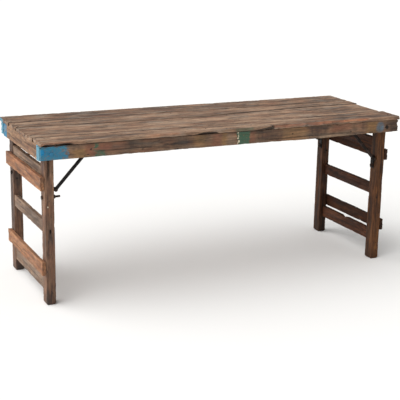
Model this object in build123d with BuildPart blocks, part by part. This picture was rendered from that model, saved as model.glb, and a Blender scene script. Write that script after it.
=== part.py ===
"""Folding market table: a plank top on a shallow frame, two ladder legs that fold inwards, iron stays.

X runs along the table, Y from front to back and Z up. The origin is on the floor under the middle of
the top. Each leg frame turns on two bolts through the long rails. Each leg post carries an iron stay
that turns on a bracket, and the stay's bent upper end lies in a hook under the planks.
"""
from build123d import *
from math import atan2, cos, degrees, hypot, radians, sin
import os

# ---------------------------------------------------------------- driving dimensions (mm)
# top
top_width = 656.0
top_height = 760.0
plank_thickness = 18.0
plank_gap = 3.0
joint_lines = (-195.0, 37.5, 159.5)          # y of the gaps between the four planks
plank_ends = ((-930.0, 926.0), (-936.0, 914.0), (-938.0, 937.0), (-940.0, 940.0))

# rails and boards of the frame under the planks
rail_ends = (-937.0, 921.0)
rail_height = 60.0
rail_thickness = 32.0
edge_overhang = 6.5                          # planks past the outer face of a rail
rail_corner_cut = (28.0, 20.0)               # worn lower corner at one end of each rail
end_board_height = 69.0
end_board_thickness = 20.0
end_board_recess = 6.0                       # end board back from the ends of the rails
end_board_gap = 4.0                          # between an end board and the posts beside it
batten_width = 45.0
batten_height = 40.0
batten_offset = 120.0                        # middle of each batten from the middle of the table

# leg frames
post_depth = 46.0                            # along X
post_width = 58.0                            # along Y
post_side_gap = 1.5                          # between a post and its rail
pivot_drop = 35.0                            # leg pivot below the underside of the planks
foot_bevel = 4.0
rung_thickness = 20.0
rung_set_back = 4.0                          # rung behind the outer face of the posts
tenon_thickness = 12.0
tenon_length = 30.0
tenon_shoulder = 6.0                         # rung above and below its tenon
crossboard_thickness = 18.0
crossboard_inset = 1.0                       # crossboard end behind the outer side of the post

# heights of the bottom and top edge of each cross piece
rung_heights = {
    "left": {"upper_rail": (573.0, 635.0), "middle_rung": (332.0, 390.0), "lower_rung": (60.0, 122.0)},
    "right": {"upper_rail": (573.0, 634.0), "middle_rung": (336.0, 393.0), "lower_rung": (88.0, 150.0)},
}
crossboard_heights = {
    "left": {"upper_crossboard": (535.0, 600.0), "lower_crossboard": (143.0, 207.0)},
    "right": {"upper_crossboard": (526.0, 584.0), "lower_crossboard": (153.0, 213.0)},
}

# leg pivot bolts
pivot_bolt_radius = 5.0
pivot_running_gap = 0.08
pivot_head_radius = 9.0
pivot_head_height = 4.0
washer_thickness = 1.5
washer_margin = 1.5                          # washer past the bolt head
pivot_side_gap = 0.4                         # between the post and the washer beside it

# stay brackets, their bolts and rivets
bracket_thickness = 4.0
bracket_below = 51.0                         # plate below the stay pivot
bracket_above = 13.0                         # plate above the stay pivot
bracket_width = 26.0
bracket_bolt_drop = 37.0                     # bolt below the stay pivot
bracket_bolt_radius = 5.0
bracket_bolt_inset = 35.0                    # bolt in from the outer side of the post
bracket_head_radius = 9.0
bracket_head_height = 5.0
nut_height = 8.0
nut_width = 16.0                             # across flats
bolt_end = 2.0                               # bolt past its nut
long_bolt_end = 23.0                         # the one long bolt, at the front left post
ear_radius = 9.0
rivet_radius = 3.5
rivet_running_gap = 0.08
rivet_head_radius = 5.5
rivet_head_height = 2.5
rivet_peened_end = 1.0                       # rivet past the inner side of the ear

# stays
stay_radius = 8.0
stay_inset = 16.0                            # stay in from the outer side of the post
stay_clearance = 0.5                         # between the eye of the stay and the post
stay_rise = 196.0                            # hook above the stay pivot
stay_run = 180.0                             # hook inboard of the stay pivot
stay_eye_thickness = 15.0
stay_side_gap = 0.5
stay_start = 0.6                             # start of the rod, as a share of the eye's radius
stay_bar_length = 58.0                       # bent end, towards the middle of the table
stay_bend_radius = 14.0

# hooks under the planks
hook_drop = 3.0                              # between the bar and the planks over it
hook_gap = 0.5
hook_thickness = 4.0
hook_width = 14.0
hook_flange = 44.0
hook_inset = 5.0                             # hook in from the tip of the stay
hook_wrap = 65.0                             # degrees that the hook turns under the bar
hook_screw_shares = (0.4, 0.78)              # places of the screws along the flange

# nails and screws
nail_radius = 1.7
nail_head_radius = 3.4
nail_head_height = 1.2
nail_sink = 0.3
top_nail_length = 45.0
board_nail_length = 40.0
rail_nail_length = 64.0
board_nail_places = ((0.28, -9.0), (0.72, 8.0))  # share of the board's height, shift along Y
cross_nail_shares = (0.2, 0.8)               # places of the nails across each plank
edge_nail_count = 7
rail_nail_drops = (33.0, 50.0)               # below the planks, into each end board
batten_nail_drop = 33.0
screw_radius = 2.0
screw_head_radius = 4.0
screw_length = 14.0

# ---------------------------------------------------------------- places worked out from them
frame_top = top_height - plank_thickness
rail_face = top_width / 2 - edge_overhang
rail_inner = rail_face - rail_thickness
post_outer = rail_inner - post_side_gap
post_inner = post_outer - post_width
pivot_height = frame_top - pivot_drop
side_sign = {"left": -1, "right": 1}
depth_sign = {"front": -1, "back": 1}
post_inset = end_board_recess + end_board_thickness + end_board_gap + post_depth / 2
post_x = {"left": rail_ends[0] + post_inset, "right": rail_ends[1] - post_inset}
end_board_faces = {"left": rail_ends[0] + end_board_recess, "right": rail_ends[1] - end_board_recess}
hook_height = frame_top - hook_drop - stay_radius
stay_height = hook_height - stay_rise
stay_plane = post_outer - stay_inset
stay_reach = post_depth / 2 + max(ear_radius, stay_radius) + stay_clearance
stay_angle = degrees(atan2(stay_run, stay_rise))
bracket_heights = (stay_height - bracket_below, stay_height + bracket_above)
bracket_bolt_height = stay_height - bracket_bolt_drop
bracket_bolt_offset = post_outer - bracket_bolt_inset

os.makedirs("parts", exist_ok=True)


# ---------------------------------------------------------------- shared shapes
def save(builder, name):
    builder.part.label = name
    export_step(builder.part, f"parts/{name}.step")


def span(x_range, y_range, z_range):
    """Add a rectangular block between three pairs of faces."""
    middle = ((x_range[0] + x_range[1]) / 2, (y_range[0] + y_range[1]) / 2)
    with BuildSketch(Plane.XY.offset(z_range[0])) as outline:
        with Locations(middle):
            Rectangle(x_range[1] - x_range[0], y_range[1] - y_range[0])
    extrude(outline.sketch, amount=z_range[1] - z_range[0])


def ordered(first, second):
    return (min(first, second), max(first, second))


def rod_y(x, z, start, end, radius, mode=Mode.ADD):
    """Add or cut a round bar along Y."""
    low, high = ordered(start, end)
    with BuildSketch(Plane.XZ.offset(-high)) as section:
        with Locations((x, z)):
            Circle(radius)
    extrude(section.sketch, amount=high - low, mode=mode)


def rod_x(y, z, start, end, radius, mode=Mode.ADD):
    """Add or cut a round bar along X."""
    low, high = ordered(start, end)
    with BuildSketch(Plane.YZ.offset(low)) as section:
        with Locations((y, z)):
            Circle(radius)
    extrude(section.sketch, amount=high - low, mode=mode)


def rod_z(x, y, start, end, radius):
    """Add an upright round bar."""
    low, high = ordered(start, end)
    with BuildSketch(Plane.XY.offset(low)) as section:
        with Locations((x, y)):
            Circle(radius)
    extrude(section.sketch, amount=high - low)


# ---------------------------------------------------------------- planks of the top
def make_planks():
    half = top_width / 2
    front_edges = [-half] + [line + plank_gap / 2 for line in joint_lines]
    back_edges = [line - plank_gap / 2 for line in joint_lines] + [half]
    names = ("plank_front", "plank_middle_front", "plank_middle_back", "plank_back")
    for name, ends, front, back in zip(names, plank_ends, front_edges, back_edges):
        with BuildPart() as plank:
            span(ends, (front, back), (frame_top, top_height))
        save(plank, name)
    return front_edges, back_edges


# ---------------------------------------------------------------- frame under the planks
def make_rail(depth):
    """A long rail with its two pivot holes and one worn lower corner."""
    sign = depth_sign[depth]
    low = frame_top - rail_height
    cut_x, cut_z = rail_corner_cut
    worn_end = rail_ends[1] if depth == "front" else rail_ends[0]
    inwards = -1 if depth == "front" else 1
    with BuildPart() as rail:
        span(rail_ends, ordered(sign * rail_inner, sign * rail_face), (low, frame_top))
        with BuildSketch(Plane.XZ.offset(-sign * rail_inner)):
            with BuildLine():
                Polyline((worn_end, low), (worn_end + inwards * cut_x, low), (worn_end, low + cut_z),
                         close=True)
            make_face()
        extrude(amount=-sign * rail_thickness, mode=Mode.SUBTRACT)
        for side in side_sign:
            rod_y(post_x[side], pivot_height, sign * rail_inner, sign * rail_face,
                  pivot_bolt_radius, Mode.SUBTRACT)
    save(rail, f"{depth}_rail")


def make_end_board(side):
    outer = end_board_faces[side]
    inner = outer - side_sign[side] * end_board_thickness
    with BuildPart() as board:
        span(ordered(outer, inner), (-rail_inner, rail_inner), (frame_top - end_board_height, frame_top))
    save(board, f"{side}_end_board")


def make_batten(side):
    middle = side_sign[side] * batten_offset
    with BuildPart() as batten:
        span((middle - batten_width / 2, middle + batten_width / 2), (-rail_inner, rail_inner),
             (frame_top - batten_height, frame_top))
    save(batten, f"{side}_batten")


def make_hook(side, depth):
    """A strap screwed under the planks that turns down and under the bent end of the stay."""
    sign = side_sign[side]
    bar_x = post_x[side] - sign * (stay_reach + stay_run)
    inner = stay_radius + hook_gap
    outer = inner + hook_thickness
    wall = (bar_x + sign * inner, bar_x + sign * outer)
    flange_end = bar_x + sign * (inner + hook_flange)
    turn = radians(hook_wrap)
    tip = (sign * cos(turn), -sin(turn))
    near = (sign * cos(turn / 2), -sin(turn / 2))
    mid_y = depth_sign[depth] * (stay_plane - stay_bar_length + hook_inset + hook_width / 2)
    with BuildPart() as hook:
        with BuildSketch(Plane.XZ.offset(-mid_y)):
            with BuildLine():
                Polyline((wall[0], hook_height), (wall[0], frame_top), (flange_end, frame_top),
                         (flange_end, frame_top - hook_thickness),
                         (wall[1], frame_top - hook_thickness), (wall[1], hook_height))
                ThreePointArc((wall[1], hook_height),
                              (bar_x + outer * near[0], hook_height + outer * near[1]),
                              (bar_x + outer * tip[0], hook_height + outer * tip[1]))
                Line((bar_x + outer * tip[0], hook_height + outer * tip[1]),
                     (bar_x + inner * tip[0], hook_height + inner * tip[1]))
                ThreePointArc((bar_x + inner * tip[0], hook_height + inner * tip[1]),
                              (bar_x + inner * near[0], hook_height + inner * near[1]),
                              (wall[0], hook_height))
            make_face()
        extrude(amount=hook_width / 2, both=True)
        for x in hook_screw_places(side):
            with BuildSketch(Plane.XY.offset(frame_top - hook_thickness)):
                with Locations((x, mid_y)):
                    Circle(screw_radius)
            extrude(amount=hook_thickness, mode=Mode.SUBTRACT)
    save(hook, f"{side}_{depth}_hook")


def hook_screw_places(side):
    sign = side_sign[side]
    wall = post_x[side] - sign * (stay_reach + stay_run - stay_radius - hook_gap)
    return [wall + sign * share * hook_flange for share in hook_screw_shares]


def make_hook_screws():
    """Round-headed screws up through the hook flanges into the planks."""
    flange_low = frame_top - hook_thickness
    with BuildPart() as screws:
        for side in side_sign:
            for depth, sign in depth_sign.items():
                y = sign * (stay_plane - stay_bar_length + hook_inset + hook_width / 2)
                for x in hook_screw_places(side):
                    rod_z(x, y, flange_low, flange_low + screw_length, screw_radius)
                    rod_z(x, y, flange_low - screw_radius, flange_low, screw_head_radius)
    save(screws, "hook_screws")


# ---------------------------------------------------------------- leg frames
def make_post(side, depth):
    """A post with a round top about its pivot, mortises for the rungs and a hole for its bracket bolt."""
    side_x = post_x[side]
    toward = side_sign[side]
    sign = depth_sign[depth]
    half = post_depth / 2
    rung_x = rung_faces(side)
    rung_middle = (rung_x[0] + rung_x[1]) / 2
    tenon_x = (rung_middle - tenon_thickness / 2, rung_middle + tenon_thickness / 2)
    with BuildPart() as post:
        with BuildSketch(Plane.XZ.offset(-sign * post_inner)):
            with BuildLine():
                Polyline((side_x - half, pivot_height), (side_x - half, foot_bevel),
                         (side_x - half + foot_bevel, 0), (side_x + half - foot_bevel, 0),
                         (side_x + half, foot_bevel), (side_x + half, pivot_height))
                ThreePointArc((side_x + half, pivot_height), (side_x, pivot_height + half),
                              (side_x - half, pivot_height))
            make_face()
        extrude(amount=-sign * post_width)
        rod_y(side_x, pivot_height, sign * post_inner, sign * post_outer,
              pivot_bolt_radius + pivot_running_gap, Mode.SUBTRACT)
        rod_x(sign * bracket_bolt_offset, bracket_bolt_height, side_x - toward * half,
              side_x + toward * half, bracket_bolt_radius, Mode.SUBTRACT)
        for low, high in rung_heights[side].values():
            tenon_middle = (low + high) / 2
            with BuildSketch(Plane.XZ.offset(-sign * post_inner)):
                with Locations(((tenon_x[0] + tenon_x[1]) / 2, tenon_middle)):
                    Rectangle(tenon_thickness, high - low - 2 * tenon_shoulder)
            extrude(amount=-sign * tenon_length, mode=Mode.SUBTRACT)
    save(post, f"{side}_{depth}_post")


def rung_faces(side):
    """The two X faces of the rungs, which stand nearer the outer face of the posts."""
    outer = post_x[side] + side_sign[side] * (post_depth / 2 - rung_set_back)
    return ordered(outer, outer - side_sign[side] * rung_thickness)


def make_rung(side, name):
    """A cross rail between the posts with a tenon at each end."""
    low, high = rung_heights[side][name]
    faces = rung_faces(side)
    middle = (faces[0] + faces[1]) / 2
    reach = post_inner + tenon_length
    with BuildPart() as rung:
        span(faces, (-post_inner, post_inner), (low, high))
        span((middle - tenon_thickness / 2, middle + tenon_thickness / 2), (-reach, reach),
             (low + tenon_shoulder, high - tenon_shoulder))
    save(rung, f"{side}_{name}")


def make_crossboard(side, name):
    """A board nailed across the outer faces of the two posts."""
    low, high = crossboard_heights[side][name]
    face = post_x[side] + side_sign[side] * post_depth / 2
    reach = post_outer - crossboard_inset
    with BuildPart() as board:
        span(ordered(face, face + side_sign[side] * crossboard_thickness), (-reach, reach), (low, high))
    save(board, f"{side}_{name}")


def make_crossboard_nails(side):
    sign = side_sign[side]
    outer = post_x[side] + sign * (post_depth / 2 + crossboard_thickness)
    middle = (post_inner + post_outer) / 2
    with BuildPart() as nails:
        for low, high in crossboard_heights[side].values():
            for y in (-middle, middle):
                for share, shift in board_nail_places:
                    z = low + share * (high - low)
                    head = outer - sign * nail_sink
                    rod_x(y + shift, z, head, head - sign * board_nail_length, nail_radius)
                    rod_x(y + shift, z, head, head - sign * nail_head_height, nail_head_radius)
    save(nails, f"{side}_crossboard_nails")


# ---------------------------------------------------------------- brackets and stays
def make_bracket(side, depth):
    """A plate on the inboard face of the post, with an ear for the stay's rivet on its outer edge."""
    toward = -side_sign[side]
    sign = depth_sign[depth]
    face = post_x[side] + toward * post_depth / 2
    outer_edge = stay_plane - stay_radius - stay_side_gap
    inner_edge = outer_edge - bracket_width
    pivot = post_x[side] + toward * stay_reach
    with BuildPart() as bracket:
        span(ordered(face, face + toward * bracket_thickness),
             ordered(sign * inner_edge, sign * outer_edge), bracket_heights)
        with BuildSketch(Plane.XZ.offset(-sign * outer_edge)):
            with Locations((pivot, stay_height)):
                Circle(ear_radius)
            with Locations(((face + pivot) / 2, stay_height)):
                Rectangle(abs(pivot - face), 2 * ear_radius)
        extrude(amount=sign * bracket_thickness)
        rod_y(pivot, stay_height, sign * (outer_edge - bracket_thickness), sign * outer_edge,
              rivet_radius, Mode.SUBTRACT)
        rod_x(sign * bracket_bolt_offset, bracket_bolt_height, face, face + toward * bracket_thickness,
              bracket_bolt_radius, Mode.SUBTRACT)
    save(bracket, f"{side}_{depth}_bracket")


def make_rivets(side):
    """The pins that the stays turn on, headed outside the stay and peened behind the ear."""
    pivot = post_x[side] - side_sign[side] * stay_reach
    ear_inner = stay_plane - stay_radius - stay_side_gap - bracket_thickness
    eye_outer = stay_plane + max(stay_eye_thickness / 2 + stay_side_gap, stay_radius)
    with BuildPart() as rivets:
        for sign in depth_sign.values():
            rod_y(pivot, stay_height, sign * (ear_inner - rivet_peened_end), sign * eye_outer,
                  rivet_radius)
            rod_y(pivot, stay_height, sign * eye_outer, sign * (eye_outer + rivet_head_height),
                  rivet_head_radius)
    save(rivets, f"{side}_stay_rivets")


def make_bracket_bolts(side):
    """Bolts across the posts with a low round head outside; the front left one is longer."""
    sign = side_sign[side]
    outer = post_x[side] + sign * post_depth / 2
    plate = post_x[side] - sign * (post_depth / 2 + bracket_thickness)
    with BuildPart() as bolts:
        for depth, y_sign in depth_sign.items():
            past = long_bolt_end if (side, depth) == ("left", "front") else bolt_end
            y = y_sign * bracket_bolt_offset
            rod_x(y, bracket_bolt_height, outer, plate - sign * (nut_height + past), bracket_bolt_radius)
            rod_x(y, bracket_bolt_height, outer, outer + sign * bracket_head_height, bracket_head_radius)
    save(bolts, f"{side}_bracket_bolts")


def make_bracket_nuts(side):
    sign = side_sign[side]
    plate = post_x[side] - sign * (post_depth / 2 + bracket_thickness)
    with BuildPart() as nuts:
        for y_sign in depth_sign.values():
            with BuildSketch(Plane.YZ.offset(plate)):
                with Locations((y_sign * bracket_bolt_offset, bracket_bolt_height)):
                    RegularPolygon(nut_width / 2, 6, major_radius=False)
                    Circle(bracket_bolt_radius, mode=Mode.SUBTRACT)
            extrude(amount=-sign * nut_height)
    save(nuts, f"{side}_bracket_nuts")


def make_stay(side, depth):
    """A round iron rod from its eye on the bracket up to the bar that lies in the hook."""
    toward = -side_sign[side]
    sign = depth_sign[depth]
    pivot = post_x[side] + toward * stay_reach
    length = hypot(stay_run, stay_rise)
    along = (toward * stay_run / length, stay_rise / length)
    y = sign * stay_plane
    lead = stay_start * ear_radius
    start = (pivot + along[0] * lead, y, stay_height + along[1] * lead)
    corner = (pivot + toward * stay_run, y, hook_height)
    tip = (corner[0], y - sign * stay_bar_length, hook_height)
    with BuildPart() as stay:
        with BuildLine() as route:
            FilletPolyline(start, corner, tip, radius=stay_bend_radius)
        with BuildSketch(Plane(origin=start, z_dir=(along[0], 0, along[1]))):
            Circle(stay_radius)
        sweep(path=route.line)
        rod_y(pivot, stay_height, y - stay_eye_thickness / 2, y + stay_eye_thickness / 2, ear_radius)
        rod_y(pivot, stay_height, y - stay_radius, y + stay_radius,
              rivet_radius + rivet_running_gap, Mode.SUBTRACT)
    save(stay, f"{side}_{depth}_stay")


# ---------------------------------------------------------------- leg pivots
def make_pivot_bolts():
    """Four bolts through the rails and posts, with low round heads on the outside."""
    reach = post_inner - pivot_side_gap - washer_thickness - nut_height - bolt_end
    with BuildPart() as bolts:
        for side in side_sign:
            for sign in depth_sign.values():
                rod_y(post_x[side], pivot_height, sign * reach, sign * rail_face, pivot_bolt_radius)
                rod_y(post_x[side], pivot_height, sign * rail_face,
                      sign * (rail_face + pivot_head_height), pivot_head_radius)
    save(bolts, "leg_pivot_bolts")


def make_pivot_washers():
    outer = post_inner - pivot_side_gap
    with BuildPart() as washers:
        for side in side_sign:
            for sign in depth_sign.values():
                rod_y(post_x[side], pivot_height, sign * (outer - washer_thickness), sign * outer,
                      pivot_head_radius + washer_margin)
                rod_y(post_x[side], pivot_height, sign * (outer - washer_thickness), sign * outer,
                      pivot_bolt_radius, Mode.SUBTRACT)
    save(washers, "leg_pivot_washers")


def make_pivot_nuts():
    outer = post_inner - pivot_side_gap - washer_thickness
    with BuildPart() as nuts:
        for side in side_sign:
            for sign in depth_sign.values():
                with BuildSketch(Plane.XZ.offset(-sign * outer)):
                    with Locations((post_x[side], pivot_height)):
                        RegularPolygon(nut_width / 2, 6, major_radius=False)
                        Circle(pivot_bolt_radius, mode=Mode.SUBTRACT)
                extrude(amount=sign * nut_height)
    save(nuts, "leg_pivot_nuts")


# ---------------------------------------------------------------- nails of the top
def make_top_nails(front_edges, back_edges):
    """Nails down through the planks into the rails, end boards and battens."""
    head = top_height - nail_sink
    rail_middle = (rail_inner + rail_face) / 2
    cross_lines = [end_board_faces[side] - side_sign[side] * end_board_thickness / 2 for side in side_sign]
    cross_lines += [side_sign[side] * batten_offset for side in side_sign]
    pitch = (rail_ends[1] - rail_ends[0]) / (edge_nail_count + 1)
    places = []
    for index in range(edge_nail_count):
        x = rail_ends[0] + pitch * (index + 1)
        places += [(x, -rail_middle), (x, rail_middle)]
    for x in cross_lines:
        for front, back in zip(front_edges, back_edges):
            low = max(front, -rail_inner)
            high = min(back, rail_inner)
            places += [(x, low + share * (high - low)) for share in cross_nail_shares]
    with BuildPart() as nails:
        for x, y in places:
            rod_z(x, y, head - top_nail_length, head, nail_radius)
            rod_z(x, y, head - nail_head_height, head, nail_head_radius)
    save(nails, "top_nails")


def make_rail_nails():
    """Nails through the long rails into the ends of the end boards and battens."""
    nails_at = []
    for side, sign in side_sign.items():
        board_x = end_board_faces[side] - sign * end_board_thickness / 2
        nails_at += [(board_x, frame_top - drop) for drop in rail_nail_drops]
        nails_at += [(sign * batten_offset, frame_top - batten_nail_drop)]
    with BuildPart() as nails:
        for x, z in nails_at:
            for sign in depth_sign.values():
                head = sign * (rail_face - nail_sink)
                rod_y(x, z, head, head - sign * rail_nail_length, nail_radius)
                rod_y(x, z, head, head - sign * nail_head_height, nail_head_radius)
    save(nails, "rail_nails")


# ---------------------------------------------------------------- the whole table
edges = make_planks()
make_top_nails(*edges)
make_rail_nails()
make_hook_screws()
make_pivot_bolts()
make_pivot_washers()
make_pivot_nuts()
for depth_name in depth_sign:
    make_rail(depth_name)
for side_name in side_sign:
    make_end_board(side_name)
    make_batten(side_name)
    make_crossboard_nails(side_name)
    make_rivets(side_name)
    make_bracket_bolts(side_name)
    make_bracket_nuts(side_name)
    for rung_name in rung_heights[side_name]:
        make_rung(side_name, rung_name)
    for board_name in crossboard_heights[side_name]:
        make_crossboard(side_name, board_name)
    for depth_name in depth_sign:
        make_post(side_name, depth_name)
        make_bracket(side_name, depth_name)
        make_stay(side_name, depth_name)
        make_hook(side_name, depth_name)
print("stay angle from upright", round(stay_angle, 2))
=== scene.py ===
import itertools
import math

import bpy
import numpy as np
from mathutils import Matrix, Vector


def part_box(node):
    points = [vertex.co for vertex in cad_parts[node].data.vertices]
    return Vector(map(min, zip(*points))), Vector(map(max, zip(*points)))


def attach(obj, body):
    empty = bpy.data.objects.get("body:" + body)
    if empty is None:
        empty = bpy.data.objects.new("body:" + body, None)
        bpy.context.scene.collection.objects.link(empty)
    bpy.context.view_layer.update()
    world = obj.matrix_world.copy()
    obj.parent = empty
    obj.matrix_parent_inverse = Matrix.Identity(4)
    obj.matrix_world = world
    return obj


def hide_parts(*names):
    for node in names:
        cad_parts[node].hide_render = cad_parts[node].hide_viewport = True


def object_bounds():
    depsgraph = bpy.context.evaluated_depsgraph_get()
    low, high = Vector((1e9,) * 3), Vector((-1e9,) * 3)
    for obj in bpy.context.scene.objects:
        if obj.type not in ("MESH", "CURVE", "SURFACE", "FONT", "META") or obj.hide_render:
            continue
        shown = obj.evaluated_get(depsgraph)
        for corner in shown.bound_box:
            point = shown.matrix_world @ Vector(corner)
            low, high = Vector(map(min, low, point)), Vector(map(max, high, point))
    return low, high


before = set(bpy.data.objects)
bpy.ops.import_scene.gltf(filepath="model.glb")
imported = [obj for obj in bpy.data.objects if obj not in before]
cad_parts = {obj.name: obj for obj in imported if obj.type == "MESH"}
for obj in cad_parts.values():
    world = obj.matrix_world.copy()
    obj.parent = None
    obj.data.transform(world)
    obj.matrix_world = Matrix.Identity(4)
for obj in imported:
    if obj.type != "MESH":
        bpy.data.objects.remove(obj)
CAD_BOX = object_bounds()

bl_info = {
    "name": "Folding market table",
    "version": (1, 0, 0),
    "blender": (4, 5, 0),
    "location": "3D View > Sidebar > Folding table",
    "description": "Weathered timber, paint and ironwork for a folding table, with its studio stage",
    "category": "Object",
}

MM = 0.001
PLANKS = ("plank_front", "plank_middle_front", "plank_middle_back", "plank_back")
SIDES = ("left", "right")
DEPTHS = ("front", "back")
RUNGS = ("upper_rail", "middle_rung", "lower_rung")
BOARDS = ("upper_crossboard", "lower_crossboard")
AXES = {"x": (0, 1, 2), "y": (1, 2, 0), "z": (2, 1, 0)}  # run, across and through, as X Y Z numbers


# ---------------------------------------------------------------- numbers in, numbers out
def node_box(name):
    """The two corners of a CAD node as one (2, 3) array in metres."""
    return np.array(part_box(name), float)


def value_noise(points, seed):
    """Random values of -1 to 1 on the corners of a cubic lattice, blended inside each cell by 3t^2 - 2t^3."""
    cell = np.floor(points).astype(np.int64)
    share = points - cell
    share = share * share * (3 - 2 * share)
    total = np.zeros(points.shape[:-1])
    for corner in itertools.product((0, 1), repeat=3):
        at = cell + np.array(corner)
        key = (at[..., 0] * 73856093) ^ (at[..., 1] * 19349663) ^ (at[..., 2] * 83492791)
        key = (key ^ (seed * 2654435761)) & 0xFFFFFFFF
        key = ((key ^ (key >> 13)) * 1274126177) & 0xFFFFFFFF
        key ^= key >> 16
        weight = np.prod(np.where(corner, share, 1 - share), axis=-1)
        total += weight * (key & 0xFFFFFF) / 0xFFFFFF
    return 2 * total - 1


def rough(u, v, w, pitch, seed, octaves=3):
    """Sum of value noises, each half as large and twice as fine. pitch is the size of a lump in mm."""
    size = np.array(pitch, float) * MM
    points = np.stack(np.broadcast_arrays(u, v, w), axis=-1) / size
    total, gain = 0.0, 1.0
    for octave in range(octaves):
        total = total + gain * value_noise(points * 2 ** octave + 17.3 * octave, seed + octave)
        gain *= 0.5
    return total / (2 - 2 * gain)


def rough_line(along, pitch, seed):
    """The same sum of noises along one line."""
    return rough(along, 0 * along, 0 * along, (pitch, 1, 1), seed)


def smooth(value, low, high):
    """0 up to low, 1 from high on and 3t^2 - 2t^3 between them. It falls instead where low is above high."""
    share = np.clip((value - low) / (high - low), 0, 1)
    return share * share * (3 - 2 * share)


def oval(along, across, place, size):
    """Square of the distance from a place in mm, as a share of an oval of that half length and height."""
    return ((along / MM - place[0]) / size[0]) ** 2 + ((across / MM - place[1]) / size[1]) ** 2


def window(value, start, end, soft):
    """1 between start and end and 0 outside them, with both edges softened by soft to each side."""
    return smooth(value, start - soft, start + soft) * smooth(value, end + soft, end - soft)


def wander(stations, table, soften=20):
    """A line through (place, offset) pairs in mm, averaged over so many stations to each side."""
    places, offsets = np.array(table, float).T * MM
    line = np.interp(stations, places, offsets)
    padded = np.pad(line, soften, mode="edge")
    return np.convolve(padded, np.ones(2 * soften + 1) / (2 * soften + 1), mode="valid")


# ---------------------------------------------------------------- a worn board
def ring_template(flat_v, flat_w, arc=3):
    """Border of a rounded rectangle with arc points on each half corner and flat points along each side.

    Gives each point's share of the inner rectangle and the direction that the corner radius is added in.
    The points start at the corner of low v and low w, and pass low w, high v, high w and low v."""
    shares, angles = [], []
    for side, flat in enumerate((flat_v, flat_w, flat_v, flat_w)):
        middle = math.pi * (1.5 + 0.5 * side)
        share = np.concatenate([np.zeros(arc), np.linspace(0, 1, flat + 1), np.ones(arc - 1)])
        angle = np.concatenate([
            middle + np.linspace(-math.pi / 4, 0, arc + 1)[:-1],
            np.full(flat + 1, middle),
            middle + np.linspace(0, math.pi / 4, arc + 1)[1:-1],
        ])
        across, through = ((share, 0 * share), (0 * share + 1, share),
                           (1 - share, 0 * share + 1), (0 * share, 1 - share))[side]
        shares.append(np.stack([across, through]))
        angles.append(angle)
    angles = np.concatenate(angles)
    return np.concatenate(shares, axis=1), np.stack([np.cos(angles), np.sin(angles)])


END_REACH = 28 * MM  # run over which the wear of an end dies out
END_DIRT = 0.16
KNOT_DEPTH = 6 * MM


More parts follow.
